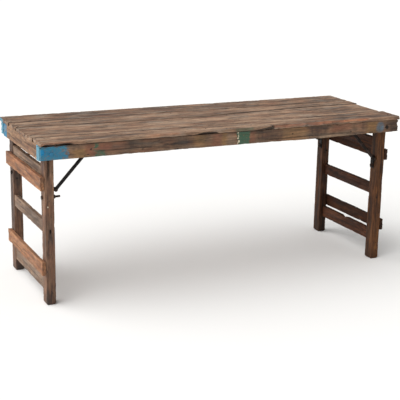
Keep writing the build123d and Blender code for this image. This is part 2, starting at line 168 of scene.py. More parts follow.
class Board:
    """A board as rings of points at stations along its run: a rounded rectangle on a straight path.

    u runs along the grain, v across the wide face and w through the thickness, all in metres."""

    def __init__(self, axis, stations, v_range, w_range, radius, flat=(24, 6), seed=1):
        self.axis = AXES[axis]
        self.seed = seed
        self.count_v, self.count_w = flat[0] + 6, flat[1] + 6
        share, self.normal = ring_template(*flat)
        column = [np.broadcast_to(np.asarray(a, float), stations.shape)[:, None]
                  for a in (*v_range, *w_range, radius)]
        self.v_low, self.v_high, self.w_low, self.w_high, radius = column
        self.v = (self.v_low + radius + share[0] * (self.v_high - self.v_low - 2 * radius)
                  + radius * self.normal[0])
        self.w = (self.w_low + radius + share[1] * (self.w_high - self.w_low - 2 * radius)
                  + radius * self.normal[1])
        self.u = np.repeat(stations[:, None], self.v.shape[1], axis=1)
        self.marks = {key: np.zeros(self.u.shape) for key in ("wear", "dirt_and_shade", "tone")}
        self.colours = {}
        self.ragged((0.0, 0.0))
        self.knots = []

    def edge_distance(self):
        """Distance in metres from each point to the nearest long edge of the board."""
        to_v = np.minimum(self.v - self.v_low, self.v_high - self.v)
        to_w = np.minimum(self.w - self.w_low, self.w_high - self.w)
        return np.maximum(to_v, to_w)

    def carve(self, depth):
        """Move every point straight in from its own face by depth in metres, or out if it is negative."""
        self.v = self.v - self.normal[0] * depth
        self.w = self.w - self.normal[1] * depth

    def weather(self, ridge, lump, chip):
        """Sink the surface between the fibres, in broad lumps, and in bites out of the long edges (mm)."""
        seed = self.seed * 31
        near = np.exp(-self.edge_distance() / (7 * MM))
        fibres = 0.5 + 0.5 * rough(self.u, self.v, self.w, (90, 4.5, 4.5), seed)
        lumps = 0.5 + 0.5 * rough(self.u, self.v, self.w, (160, 38, 38), seed + 7)
        bites = smooth(rough(self.u, self.v, self.w, (34, 20, 20), seed + 13), 0.1, 0.6)
        self.carve((ridge * fibres + lump * lumps + chip * bites * near) * MM)
        self.marks["wear"] = np.maximum(self.marks["wear"], near * (0.35 + 0.65 * bites))
        self.lay_dirt_and_shade(0.35 * smooth(fibres, 0.22, 0.0))

    def cut_corner(self, at_low_v, at_low_w, depth_v, depth_w):
        """Flatten one long edge onto a slanting plane that leaves the faces depth_v and depth_w (m) from it.

        Gives how much each point was cut, from 0 to 1."""
        across = self.v - self.v_low if at_low_v else self.v_high - self.v
        through = self.w - self.w_low if at_low_w else self.w_high - self.w
        reach_v = np.maximum(np.asarray(depth_v), 1e-5)[:, None]
        reach_w = np.maximum(np.asarray(depth_w), 1e-5)[:, None]
        outside = np.maximum(1 - across / reach_v - through / reach_w, 0)
        push = outside / (1 / reach_v ** 2 + 1 / reach_w ** 2)
        self.v = self.v + push / reach_v * (1 if at_low_v else -1)
        self.w = self.w + push / reach_w * (1 if at_low_w else -1)
        return smooth(outside, 0.02, 0.2)

    def split(self, places, line, width, depth, face=1, stain=1.0):
        """Sink a narrow groove along the grain into the face of high w (1), low w (-1), or low v (0)."""
        start, end = (place * MM for place in places)
        inside = smooth(self.u, start, start + 60 * MM) * smooth(self.u, end, end - 60 * MM)
        across = self.w if face == 0 else self.v
        facing = -self.normal[0] if face == 0 else face * self.normal[1]
        bend = rough_line(self.u, 70, self.seed * 5 + 3) * 2.5 * MM
        away = np.abs(across - np.asarray(line) - bend) / (width * MM)
        groove = np.exp(-away ** 2) * inside * (facing > 0.5)
        self.carve(groove * depth * MM)
        self.lay_dirt_and_shade(groove * stain)

    def dent(self, place, size, depth, face, dirt_and_shade=1.0):
        """Sink an oval hole at place (u, across) in mm, into the faces that point the way of face (v, w)."""
        facing = self.normal[0] * face[0] + self.normal[1] * face[1] > 0.7
        hole = smooth(oval(self.u, self.w if face[0] else self.v, place, size), 1.2, 0.5) * facing
        self.carve(hole * depth * MM)
        self.lay_dirt_and_shade(hole * dirt_and_shade)

    def lay_dirt_and_shade(self, amount):
        """Lay grime and painted shade on the points, 0 to 1, where there isn't more already."""
        self.marks["dirt_and_shade"] = np.maximum(self.marks["dirt_and_shade"], amount)

    def paint(self, colour, amount):
        """Record how much of a colour lies on each point, 0 to 1."""
        self.colours[colour] = np.maximum(self.colours.get(colour, 0), amount)

    def ragged(self, ends, layers=0.0, pitch=(9, 4)):
        """Wear the two ends back by up to so many mm each, in fibres, and in layers if layers is set."""
        self.ends = ends
        self.layers, self.end_pitch = layers, pitch

    def end_wear(self, v, w, which):
        """How far an end is worn back: noise over the end grain, stepped where the end has layers."""
        grain = rough(0 * v + 3.0 * which, v, w, (1, *self.end_pitch), self.seed * 11 + which, 2)
        wear = smooth(grain, -0.3, 0.8)
        if self.layers:
            step = rough(0 * v, 0 * v, w, (1, 1, self.layers), self.seed * 3 + which, 1)
            wear = 0.35 * wear + 0.65 * smooth(step, -0.1, 0.1)
        return wear * self.ends[which] * MM

    def tidy_ends(self):
        """Give every station near an end its share of the wear, so that the rings don't cross."""
        for which, end in enumerate(self.end_places):
            share = np.clip(1 - np.abs(self.u - end) / END_REACH, 0, 1)
            self.u = self.u + (1 - 2 * which) * share * self.end_wear(self.v, self.w, which)

    def cap(self, which, row):
        """Grid over one end: a Coons patch of the end ring, worn back by the same noise as the ring."""
        a, b = self.count_v, self.count_w
        index = np.zeros((a + 1, b + 1), int)
        index[:a, 0] = np.arange(a)
        index[a, :b] = a + np.arange(b)
        index[a - np.arange(a), b] = a + b + np.arange(a)
        index[0, b - np.arange(b)] = 2 * a + b + np.arange(b)
        s, t = np.meshgrid(np.arange(a + 1) / a, np.arange(b + 1) / b, indexing="ij")

        def patch(values):
            edge = np.broadcast_to(values, self.u.shape)[row][index]
            grid = ((1 - t) * edge[:, :1] + t * edge[:, -1:] + (1 - s) * edge[:1] + s * edge[-1:]
                    - (1 - s) * (1 - t) * edge[0, 0] - s * (1 - t) * edge[-1, 0]
                    - (1 - s) * t * edge[0, -1] - s * t * edge[-1, -1])
            return grid[1:-1, 1:-1]

        v, w = patch(self.v), patch(self.w)
        inner_u = self.end_places[which] + (1 - 2 * which) * self.end_wear(v, w, which)
        return index, inner_u, v, w, {key: patch(value) for key, value in self.colours.items()}

    def build(self, name, body, material, slot):
        """Put the rings and the two end grids into one closed mesh, with its grain and wear as attributes."""
        self.end_places = (self.u[0, 0], self.u[-1, 0])
        self.tidy_ends()
        rings, around = self.u.shape
        points = [np.stack([self.u, self.v, self.w], axis=-1).reshape(-1, 3)]
        step, here = np.arange(rings - 1)[:, None] * around, np.arange(around)
        then = (here + 1) % around
        faces = [np.stack([step + here, step + around + here, step + around + then, step + then],
                          axis=-1).reshape(-1, 4)]
        fields = {key: [np.broadcast_to(value, self.u.shape).reshape(-1)]
                  for key, value in {**self.marks, **self.colours}.items()}
        total = rings * around
        for which, row in enumerate((0, -1)):
            index, u, v, w, shades = self.cap(which, row)
            grid = index + which * (rings - 1) * around
            grid[1:-1, 1:-1] = np.arange(u.size).reshape(u.shape) + total
            quad = np.stack([grid[:-1, :-1], grid[:-1, 1:], grid[1:, 1:], grid[1:, :-1]], axis=-1)
            faces.append((quad[..., ::-1] if which else quad).reshape(-1, 4))
            points.append(np.stack([u, v, w], axis=-1).reshape(-1, 3))
            for key in self.marks:
                shades[key] = np.full(u.size, END_DIRT if key == "dirt_and_shade" else self.marks[key][row].mean())
            for key, value in shades.items():
                fields[key].append(value.reshape(-1))
            total += u.size
        points, faces = np.concatenate(points), np.concatenate(faces)
        fields = {key: np.concatenate(value) for key, value in fields.items()}
        grain = points.copy()
        for place, across, size in self.knots:
            away = oval(points[:, 0], points[:, 1], (place, across), (2.2 * size, size))
            grain[:, 1] = across * MM + (grain[:, 1] - across * MM) * (1 - 0.8 * np.exp(-away))
            knot = np.exp(-away * 5) * (points[:, 2] > self.w_high.min() - KNOT_DEPTH)
            fields["dirt_and_shade"] = np.maximum(fields["dirt_and_shade"], 0.8 * knot)
        place = np.zeros_like(points)
        place[:, self.axis] = points
        obj = mesh_object(name + "_timber", place, faces)
        add_attribute(obj, "grain", "FLOAT_VECTOR", grain + np.array([0.37, 0.61, 0.83]) * self.seed)
        marks = np.stack([fields.pop(key) for key in self.marks], axis=-1)
        add_attribute(obj, "marks", "FLOAT_VECTOR", marks)
        for key, value in fields.items():
            add_attribute(obj, key, "FLOAT", value)
        obj.data.materials.append(material)
        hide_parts(name)
        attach(obj, body)


def mesh_object(name, points, faces):
    """A smooth-shaded mesh object at the origin, turned so that its faces point outwards."""
    triangles = np.concatenate([faces[:, [0, 1, 2]], faces[:, [0, 2, 3]]])
    a, b, c = (points[triangles[:, n]] for n in range(3))
    if np.einsum("ij,ij->i", a, np.cross(b, c)).sum() < 0:
        faces = faces[:, ::-1]
    mesh = bpy.data.meshes.new(name)
    mesh.from_pydata(points.tolist(), [], faces.tolist())
    mesh.polygons.foreach_set("use_smooth", np.ones(len(faces), bool))
    mesh.update()
    obj = bpy.data.objects.new(name, mesh)
    bpy.context.scene.collection.objects.link(obj)
    return obj


def add_attribute(obj, name, kind, values):
    """Store one value or vector per point under a name that the materials read."""
    attribute = obj.data.attributes.new(name, kind, "POINT")
    key = "vector" if kind == "FLOAT_VECTOR" else "value"
    attribute.data.foreach_set(key, np.ascontiguousarray(values, dtype=np.float32).reshape(-1))


# ---------------------------------------------------------------- materials
def linear(hex_colour):
    """An sRGB hex colour as linear red, green, blue, alpha."""
    text = hex_colour.lstrip("#")
    channels = [int(text[n:n + 2], 16) / 255 for n in (0, 2, 4)]
    values = [c / 12.92 if c <= 0.04045 else ((c + 0.055) / 1.055) ** 2.4 for c in channels]
    return (*values, 1.0)


def add(tree, kind, settings=None, **inputs):
    """Add a node, set its properties, and fill its inputs with numbers or with other nodes' outputs."""
    new = tree.nodes.new("ShaderNode" + kind)
    for key, value in (settings or {}).items():
        if key == "ramp":
            ramp = new.color_ramp
            for number, (place, colour) in enumerate(value):
                stop = ramp.elements[number] if number < 2 else ramp.elements.new(place)
                stop.position, stop.color = place, colour
        else:
            setattr(new, key, value)
    for key, value in inputs.items():
        socket = new.inputs[int(key[1:])] if key[0] == "i" and key[1:].isdigit() else \
            new.inputs[key.replace("_", " ")]
        if isinstance(value, bpy.types.NodeSocket):
            tree.links.new(value, socket)
        else:
            socket.default_value = value
    return new


def new_material(name):
    """An empty material with its output node, ready for a shader."""
    material = bpy.data.materials.new(name)
    material.use_nodes = True
    tree = material.node_tree
    tree.nodes.clear()
    return material, tree, tree.nodes.new("ShaderNodeOutputMaterial")


def blend(tree, amount, under, over, kind="MIX"):
    """Lay one colour over another by an amount of 0 to 1."""
    return add(tree, "Mix", {"data_type": "RGBA", "blend_type": kind}, i0=amount, i6=under,
               i7=over).outputs[2]


def remap(tree, value, low, high, to_low=0.0, to_high=1.0):
    """Ease a value between two limits into another range."""
    return add(tree, "MapRange", {"interpolation_type": "SMOOTHSTEP"}, Value=value, From_Min=low,
               From_Max=high, To_Min=to_low, To_Max=to_high).outputs[0]


def maths(tree, operation, *values, clamp=False):
    """One step of arithmetic on up to three values."""
    inputs = {f"i{number}": value for number, value in enumerate(values)}
    return add(tree, "Math", {"operation": operation, "use_clamp": clamp}, **inputs).outputs[0]


def attribute(tree, name, output="Fac"):
    """A value or vector stored on the points of the mesh."""
    return add(tree, "Attribute", {"attribute_name": name}).outputs[output]


def stretched_noise(tree, place, scale, detail, roughness):
    """Noise with its own scale along, across and through the grain."""
    spread = add(tree, "VectorMath", {"operation": "MULTIPLY"}, i0=place, i1=scale).outputs[0]
    return add(tree, "TexNoise", Vector=spread, Scale=1.0, Detail=detail, Roughness=roughness,
               Distortion=0.06).outputs["Fac"]


GRAIN_NOISE = {  # scale along, across and through the grain
    "broad": ((3.2, 19, 19), 4, 0.55),  # tone drifts over about 300 by 50 mm
    "streak": ((6.5, 66, 66), 5, 0.6),  # bands about 15 mm wide and 150 mm long
    "fine": ((9, 190, 190), 4, 0.6),  # bands about 5 mm wide
    "fibre": ((15, 520, 520), 3, 0.6),  # single fibres about 2 mm apart
    "crack": ((2.4, 34, 34), 2, 0.5),  # drying cracks, one about every 30 mm
    "blotch": ((8, 20, 20), 5, 0.6),  # stains about 120 by 50 mm
    "mottle": ((27, 58, 58), 4, 0.7),  # lighter and darker flecks about 40 by 17 mm
    "speck": ((30, 80, 80), 3, 0.6),  # marks about 30 by 12 mm
    "hue": ((9, 32, 32), 5, 0.6),  # red and silver patches about 110 by 30 mm
}


def aged_timber(name, deep, brown, tan, silver, red, stain, silvering, paints=(), tints=(), gloss=0.78,
                specular=0.5):
    """Old open-grained hardwood, sawn and hand-planed, left to the weather and to years of use.

    The eye gets straight fibres, drying cracks, soft dark stains, bands of silver and of red, pale
    rubbed edges, dirt in every hollow, and almost no sheen. specular is lowered on the right-hand
    frame's darker copies, to deepen their painted shade."""
    material, tree, output = new_material(name)
    grain = attribute(tree, "grain", "Vector")
    wear, dirt_and_shade, tone = add(tree, "SeparateXYZ", Vector=attribute(tree, "marks", "Vector")).outputs
    shapes = {key: stretched_noise(tree, grain, *values) for key, values in GRAIN_NOISE.items()}
    mixed = maths(tree, "ADD", shapes["broad"], tone)
    for shape, strength in (("streak", 0.62), ("fine", 0.65)):
        offset = maths(tree, "MULTIPLY_ADD", shapes[shape], strength, -strength / 2)
        mixed = maths(tree, "ADD", mixed, offset)
    base = add(tree, "ValToRGB", {"ramp": (
        (0.30, linear(deep)), (0.70, linear(tan)), (0.5, linear(brown)))}, Fac=mixed).outputs["Color"]
    for shape, limits, colour in (("hue", (0.48, 0.68, 0.0, silvering), silver),
                                  ("hue", (0.3, 0.5, 0.4, 0.0), red),
                                  ("blotch", (0.53, 0.72, 0.0, stain), deep),
                                  ("speck", (0.62, 0.72, 0.0, 0.6), deep)):
        base = blend(tree, remap(tree, shapes[shape], *limits), base, linear(colour))
    for key, colour in tints:
        # old stain and thin paint that has soaked in: soft-edged, with the grain left in sight
        film = maths(tree, "MULTIPLY", attribute(tree, key), remap(tree, shapes["fine"], 0.3, 0.7, 0.55, 1.0))
        base = blend(tree, film, base, linear(colour))
    for shape, low, high in (("fibre", 0.8, 1.16), ("mottle", 0.74, 1.22)):
        base = blend(tree, 1.0, base, remap(tree, shapes[shape], 0.3, 0.7, low, high), "MULTIPLY")
    base = blend(tree, maths(tree, "MULTIPLY", wear, shapes["streak"]), base, linear(tan))
    for key, low, high in paints:
        # old oil paint: thin at its edges and rubbed through to the wood in spots about 10 mm across
        spots = stretched_noise(tree, grain, (60, 95, 95), 5, 0.65)
        cover = remap(tree, maths(tree, "ADD", attribute(tree, key), spots), 0.86, 1.16)
        base = blend(tree, cover, base, blend(tree, shapes["blotch"], linear(low), linear(high)))
    # drying cracks, thin lines where the stretched noise passes its middle value
    crack = maths(tree, "MULTIPLY", maths(tree, "COMPARE", shapes["crack"], 0.5, 0.004),
                  remap(tree, shapes["blotch"], 0.44, 0.58))
    # darkening from the cracks and from the marks, which hold grime and, in hollows and under broken edges,
    # painted shade
    dark = maths(tree, "MULTIPLY", maths(tree, "MAXIMUM", crack, dirt_and_shade), 0.9, clamp=True)
    base = blend(tree, dark, base, linear("#17100c"))
    height = maths(tree, "MULTIPLY_ADD", shapes["fibre"], 0.5, shapes["fine"])
    height = maths(tree, "SUBTRACT", height, crack)
    bump = add(tree, "Bump", Strength=0.8, Distance=0.9 * MM, Height=height).outputs[0]
    sheen = remap(tree, shapes["streak"], 0.3, 0.7, gloss - 0.1, gloss + 0.12)
    shader = add(tree, "BsdfPrincipled", Base_Color=base, Roughness=sheen, IOR=1.5, Normal=bump,
                 Specular_IOR_Level=specular)
    tree.links.new(shader.outputs[0], output.inputs["Surface"])
    return material


def smithed_iron(name, dark, light, rust, rusting, roughness=0.5, painted=None):
    """Forged black iron with a film of old oil and rust. The eye gets a near-black skin with small dull
    highlights, hammer marks about 8 mm across, and brown rust in patches. painted gives the limits of x and
    y in metres below which the frame's paint was brushed over the iron, and its colour."""
    material, tree, output = new_material(name)
    place = add(tree, "TexCoord").outputs["Object"]
    marks, pits, patch = (
        add(tree, "TexNoise", Vector=place, Scale=scale, Detail=detail, Roughness=gain).outputs["Fac"]
        for scale, detail, gain in ((120.0, 3.0, 0.5), (900.0, 4.0, 0.5), (45.0, 7.0, 0.65)))
    cover = remap(tree, patch, 0.62 - 0.25 * rusting, 0.78 - 0.25 * rusting)
    skin = blend(tree, cover, blend(tree, marks, linear(dark), linear(light)), linear(rust))
    metal = remap(tree, cover, 0.0, 1.0, 0.75, 0.1)
    if painted:
        x, y, z = add(tree, "SeparateXYZ", Vector=place).outputs
        film = maths(tree, "MULTIPLY", maths(tree, "LESS_THAN", x, painted[0]),
                     maths(tree, "LESS_THAN", y, painted[1]))
        skin = blend(tree, film, skin, linear(painted[2]))
        metal = maths(tree, "MULTIPLY", metal, maths(tree, "SUBTRACT", 1.0, film))
    height = maths(tree, "MULTIPLY_ADD", pits, 0.3, marks)
    bump = add(tree, "Bump", Strength=0.6, Distance=0.6 * MM, Height=height).outputs[0]
    dull = remap(tree, patch, 0.3, 0.7, roughness - 0.08, roughness + 0.25)
    shader = add(tree, "BsdfPrincipled", Base_Color=skin, Metallic=metal, Roughness=dull, Normal=bump)
    tree.links.new(shader.outputs[0], output.inputs["Surface"])
    return material


def cover_node(name, material):
    """Give a CAD node that stays in sight its finished material."""
    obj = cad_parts[name]
    if not obj.material_slots:
        obj.data.materials.append(material)
    for slot in obj.material_slots:
        slot.material = material


# ---------------------------------------------------------------- settings
class FoldingTableTimber(bpy.types.PropertyGroup):
    ridge: bpy.props.FloatProperty(name="Fibre relief", description="Depth between raised fibres in mm",
                                   default=0.4, min=0, max=2)
    lump: bpy.props.FloatProperty(name="Hollows", description="Depth of broad hollows in mm", default=0.9,
                                  min=0, max=4)
    chip: bpy.props.FloatProperty(name="Edge bites", description="Depth of bites out of edges in mm",
                                  default=2.2, min=0, max=8)
    corner: bpy.props.FloatProperty(name="Edge radius", description="Radius of the worn long edges",
                                    default=2.2 * MM, subtype="DISTANCE", unit="LENGTH")
    grow: bpy.props.FloatProperty(name="Growth", description="Thickness added before the wear, in mm",
                                  default=1.2, min=0, max=3)
    top_deep: bpy.props.StringProperty(name="Top, dark", description="sRGB hex", default="#46342a")
    top_brown: bpy.props.StringProperty(name="Top, middle", description="sRGB hex", default="#876850")
    top_tan: bpy.props.StringProperty(name="Top, light", description="sRGB hex", default="#a98b72")
    top_silver: bpy.props.StringProperty(name="Top, silvered", description="sRGB hex", default="#8c7f72")
    blue: bpy.props.StringProperty(name="Blue paint", description="sRGB hex", default="#14688f")
    green: bpy.props.StringProperty(name="Green paint", description="sRGB hex", default="#22503f")


class FoldingTableStage(bpy.types.PropertyGroup):
    focal: bpy.props.FloatProperty(name="Focal length", description="Camera focal length in mm",
                                   default=92.53)
    place: bpy.props.FloatVectorProperty(name="Camera place", description="Where the camera stands",
                                         default=(-2.1697, -4.5114, 1.7097), subtype="TRANSLATION",
                                         unit="LENGTH")
    turn: bpy.props.FloatVectorProperty(name="Camera turn", description="Yaw, pitch and roll of the camera",
                                        default=(math.radians(25.56), math.radians(-15.4), math.radians(1.1)),
                                        subtype="EULER", unit="ROTATION")
    key: bpy.props.FloatProperty(name="Key light", description="Strength of the wide soft light",
                                 default=3.6)
    key_from: bpy.props.FloatVectorProperty(name="Key direction", description="Direction the key light is in",
                                            default=(-0.76, 0.0, 0.67), subtype="DIRECTION")
    key_width: bpy.props.FloatProperty(name="Key width", description="Angle that the key light covers",
                                       default=1.6, subtype="ANGLE", unit="ROTATION")
    sky: bpy.props.FloatProperty(name="Room light", description="Strength of the light from all round",
                                 default=0.4)


def timber():
    """The sizes and colours that the user can change for the timber."""
    return bpy.context.scene.folding_table_timber


def shared_material(name, make, *args, **settings):
    """The material of that name, made the first time that it is asked for."""
    return bpy.data.materials.get(name) or make(name, *args, **settings)


CREAM = (("cream", "#d8ccb4", "#b9a98c"),)
PALE_BLUE = (("pale_blue", "#538aa1", "#6699aa"),)
TIMBERS = {  # dark, middle, light, silvered and red wood
    "sawn_hardwood_batten": ("#46352a", "#75593f", "#967658", "#83725f", "#8c5c45",
                             {"stain": 0.5, "silvering": 0.3}),
    "oiled_hardwood_post_left": ("#2f1f16", "#6b4a36", "#8a674c", "#846b55", "#6b422e",
                                 {"stain": 0.6, "silvering": 0.3, "gloss": 0.66, "paints": CREAM}),
    # the right-hand copy is darker than the left one: painted shade for the frame under the top
    "oiled_hardwood_post_right": ("#23150e", "#50311c", "#704829", "#5e4430", "#5a3824",
                                  {"stain": 0.6, "silvering": 0.3, "gloss": 0.66, "specular": 0.2,
                                   "paints": CREAM}),
    "planed_hardwood_rung_left": ("#483628", "#735a46", "#8d745f", "#7c6d62", "#6e4834",
                                  {"stain": 0.45, "silvering": 0.5, "gloss": 0.7}),
    # the right-hand copy is darker than the left one: painted shade for the frame under the top
    "planed_hardwood_rung_right": ("#23140c", "#3f2213", "#5a351e", "#4d3423", "#6e4834",
                                   {"stain": 0.45, "silvering": 0.25, "gloss": 0.7, "specular": 0.2}),
    "planed_hardwood_crossboard_left": ("#5e3b27", "#906242", "#ab7c57", "#967760", "#93583a",
                                        {"stain": 0.4, "silvering": 0.35}),
    # the right-hand copy is darker than the left one: painted shade for the frame under the top
    "planed_hardwood_crossboard_right": ("#1f110a", "#391f11", "#4c2d19", "#412a19", "#371b11",
                                         {"stain": 0.4, "silvering": 0.35, "specular": 0.2}),
}


def wood(name):
    """The timber of that name, from the table above."""
    *colours, settings = TIMBERS[name]
    return shared_material(name, aged_timber, *colours, **settings)


def stations(low, high, pitch=5.0):
    """Evenly spaced places from low to high in metres, about pitch mm apart."""
    return np.linspace(low, high, max(8, int(round((high - low) / (pitch * MM))) + 1))


def worn_board(along, v_range, w_range, flat, seed, tone=0.0, splits=(), chip=1.0, worn=(1.0, 1.0),
               fibres=(9, 4)):
    """A weathered board that runs across the table, with its splits and its worn ends."""
    values = timber()
    board = Board("y", along, v_range, w_range, values.corner, flat, seed)
    board.marks["tone"][:] = tone
    for places, line, depth, face in splits:
        board.split(places, line, 1.5, depth, face)
    board.weather(values.ridge, values.lump, values.chip * chip)
    board.ragged(worn, pitch=fibres)
    return board


# ---------------------------------------------------------------- the top
JOINTS = (  # mm along the table, mm across it
    ((-940, -205), (-700, -200), (-400, -211), (-172, -216), (120, -205), (417, -196), (640, -186),
     (880, -176), (940, -176)),
    ((-940, 53), (-915, 51), (-682, 30), (-528, 14), (-440, 6), (-283, 10), (19, 6), (349, 38),
     (584, 56), (772, 62), (940, 57)),
    ((-940, 171), (-738, 161), (-600, 154), (-441, 144), (-290, 160), (0, 168), (300, 164), (700, 158),
     (940, 160)),
)
JOINT_GAPS = (1.6, 7.0, 4.5)  # mm
PLANK_REACH = (13 * MM, 6 * MM, 2 * MM, 0.0)  # right ends past their plain length
PLANK_TONE = (0.0, 0.04, 0.01, -0.07)
TOP_BREAK = (  # mm along, then mm broken off across and down
    (-940, 2, 1), (210, 2, 1), (214, 18, 14), (330, 15, 11), (480, 19, 13), (604, 13, 10), (622, 10, 8),
    (735, 12, 10), (760, 3, 2), (926, 2, 1),
)
UNDER_BREAK_ACROSS = (
    (-936, 4), (-912, 16), (-800, 20), (-780, 4), (-207, 4), (-182, 12), (-132, 24), (-88, 16), (-78, 5),
    (130, 6), (208, 12), (216, 2), (936, 2),
)
UNDER_BREAK_UP = (
    (-936, 3), (-915, 9), (-870, 13), (-800, 12), (-775, 3), (-207, 3), (-182, 7), (-132, 16), (-88, 10),
    (-78, 3), (130, 4), (195, 8), (216, 1), (936, 1),
)
JOINT_DIRT = (  # mm along the table, strength of the dirt
    ((-940, 0.7), (-700, 0.2), (150, 0.15), (420, 0.5), (760, 0.75), (940, 0.5)),
    ((-940, 0.5), (-760, 0.35), (-560, 0.9), (500, 1.0), (760, 0.7), (940, 0.9)),
    ((-940, 1.0), (-560, 0.95), (-380, 0.4), (200, 0.35), (560, 0.6), (940, 0.6)),
)
PLANK_KNOTS = {
    "plank_front": ((-865, -232, 11), (640, -262, 9)),
    "plank_middle_front": ((-532, -51, 12), (-905, -138, 14), (330, -90, 10)),
    "plank_middle_back": ((-120, 96, 9), (560, 110, 10)),
    "plank_back": ((-610, 240, 13), (420, 214, 10)),
}
PLANK_SPLITS = {
    "plank_front": ((-420, 120, -262, 1.6, 3.0), (430, 912, -246, 1.8, 3.2), (-925, -640, -252, 1.6, 3.0)),
    "plank_middle_front": ((-905, -420, -105, 1.8, 3.4), (-120, 520, -120, 1.6, 3.0),
                           (300, 905, -62, 2.0, 3.6), (-300, 60, -28, 1.5, 2.6)),
    "plank_middle_back": ((-934, -560, 112, 1.8, 3.2), (180, 700, 112, 1.8, 3.4)),
    "plank_back": ((-936, -300, 262, 1.8, 3.2), (-60, 620, 214, 2.0, 3.6), (500, 936, 262, 1.6, 3.0)),
}


class FOLDINGTABLE_OT_planks(bpy.types.Operator):
    """Make the four planks of the top, with wandering joints, splits, knots and a broken front edge"""
    bl_idname = "folding_table.planks"
    bl_label = "Planks"

    def execute(self, context):
        values = timber()
        material = shared_material(
            "weathered_hardwood_top", aged_timber, values.top_deep, values.top_brown, values.top_tan,
            values.top_silver, "#8c5c45", stain=0.5, silvering=0.6,
            tints=(("russet", "#7a452f"), ("fresh_break_and_highlight", "#b5714a"), ("mossy", values.green)),
            paints=PALE_BLUE)
        for number, name in enumerate(PLANKS):
            low, high = node_box(name)
            along = stations(low[0], min(high[0] + PLANK_REACH[number], CAD_BOX[1][0] - 0.5 * MM), 4.7)
            front, back = np.full(along.shape, low[1]), np.full(along.shape, high[1])
            if number > 0:
                waver = 1.3 * MM * rough_line(along, 60, number + 40)
                front = wander(along, JOINTS[number - 1]) + JOINT_GAPS[number - 1] / 2 * MM
                front = front + np.maximum(waver, -0.5 * MM)
            if number < 3:
                back = wander(along, JOINTS[number]) - JOINT_GAPS[number] / 2 * MM
            else:
                back = back - 0.5 * MM * smooth(rough_line(along, 120, 78), -0.2, 0.6)
            across = int(round((high[1] - low[1]) / (3.1 * MM)))
            plank = Board("x", along, (front, back), (low[2], high[2]), values.corner,
                          flat=(across, 6), seed=3 + number)
            plank.marks["tone"][:] = PLANK_TONE[number]
            if number < 2:
                plank.marks["tone"] -= 0.07 * smooth(plank.u, 0.55, 0.9)
            plank.knots = PLANK_KNOTS[name]
            middle = (front + back)[:, None] / 2
            cup = (1 - ((plank.v - middle) / (back - front)[:, None] * 2) ** 2) * (plank.normal[1] > 0)
            plank.carve(0.6 * MM * np.maximum(cup, 0))
            for start, end, line, width, depth in PLANK_SPLITS[name]:
                plank.split((start, end), line * MM, width, depth, stain=0.55)
            plank.weather(values.ridge, values.lump * 0.8, values.chip)
            plank.lay_dirt_and_shade(self.joint_dirt(plank, number))
            if number == 0:
                self.break_front(plank, along)
            if number == 3:
                plank.paint("pale_blue", smooth(plank.u / MM, -935, -939) * smooth(plank.v / MM, 262, 276)
                            * (plank.normal[1] < 0.6))
            plank.ragged((3.0, 3.5) if number == 0 else (5.0, 5.0), pitch=(14, 6))
            plank.build(name, "tabletop", material, "top_planks")
        return {"FINISHED"}

    def joint_dirt(self, plank, number):
        """Dirt that has packed in beside the joints and on the sides of the planks between them."""
        patchy = 0.85 + 0.5 * rough(plank.u, plank.v, 0 * plank.w, (120, 12, 1), 130 + number)
        total = 0 * plank.u
        for joint, away in ((number - 1, plank.v - plank.v_low), (number, plank.v_high - plank.v)):
            if 0 <= joint < len(JOINT_DIRT):
                places, strengths = np.array(JOINT_DIRT[joint]).T
                strength = np.interp(plank.u / MM, places, strengths)
                away = np.maximum(away, 0) / MM - 4 * (patchy - 0.85)
                beside = smooth(away, 9, 2.5) * patchy * strength
                side = smooth(away, 3, 1) * (np.abs(plank.normal[0]) > 0.5)
                total = np.maximum(total, np.maximum(beside, side))
        return np.clip(total, 0, 1) * (plank.normal[1] > -0.8)

    def break_front(self, plank, along):
        """Break the front edge away on top, right of the middle, and from below at the left and middle."""
        noise = 1 + 0.35 * rough_line(along, 26, 91)
        places = np.array(TOP_BREAK)
        top_v, top_w = (wander(along, places[:, (0, column)], 1) * noise for column in (1, 2))
        broken = plank.cut_corner(True, False, top_v, top_w)
        x, y, z = plank.u / MM, plank.v / MM, plank.w / MM
        strip = smooth(x, 205, 218) * smooth(x, 775, 740)
        # bright: the pale orange on the broken strip, freshly broken wood with a painted highlight on its
        # slope
        bright = smooth(x, 606, 622) * smooth(x, 748, 728) + 0.25 * smooth(x, 400, 470)
        plank.paint("russet", broken * strip * 0.85)
        # lip: a painted highlight along the top front edge of the plank
        lip = smooth(y, -300, -318) * smooth(z, 748, 756)
        plank.paint("fresh_break_and_highlight", lip * smooth(x, -450, -400) * smooth(x, -250, -300) * 0.45)
        plank.paint("fresh_break_and_highlight", broken * strip * np.minimum(bright, 1) * 0.85)
        # from below, the broken-away edge is darkened almost black: painted shade in the hollow under the
        # plank
        low_v, low_w = (wander(along, table, 1) * noise for table in (UNDER_BREAK_ACROSS, UNDER_BREAK_UP))
        plank.lay_dirt_and_shade(plank.cut_corner(True, True, low_v, low_w) * 0.95)
        face = smooth(-plank.normal[0], 0.2, 0.6) * (y < -315)
        plank.paint("russet", face * smooth(x, -770, -800) * 0.75)
        plank.paint("mossy", face * smooth(x, 2, 20) * smooth(x, 112, 96) * 0.75)
        # the seam that climbs from the lower edge to the notch where the strip broke off; both are carved and
        # darkened, the notch with painted shade
        climb = 741 + np.clip((x - 105) / 107, 0, 1) * 13
        seam = np.exp(-((z - climb) / 3.0) ** 2) * smooth(x, 95, 112) * smooth(x, 216, 212)
        notch = np.exp(-((x - 211) / 8.5) ** 2) * (y < -300)
        plank.carve(np.maximum(seam * 2.5, notch * 5) * face * MM)
        plank.lay_dirt_and_shade(np.maximum(np.minimum(1.6 * seam, 1) * face, notch))


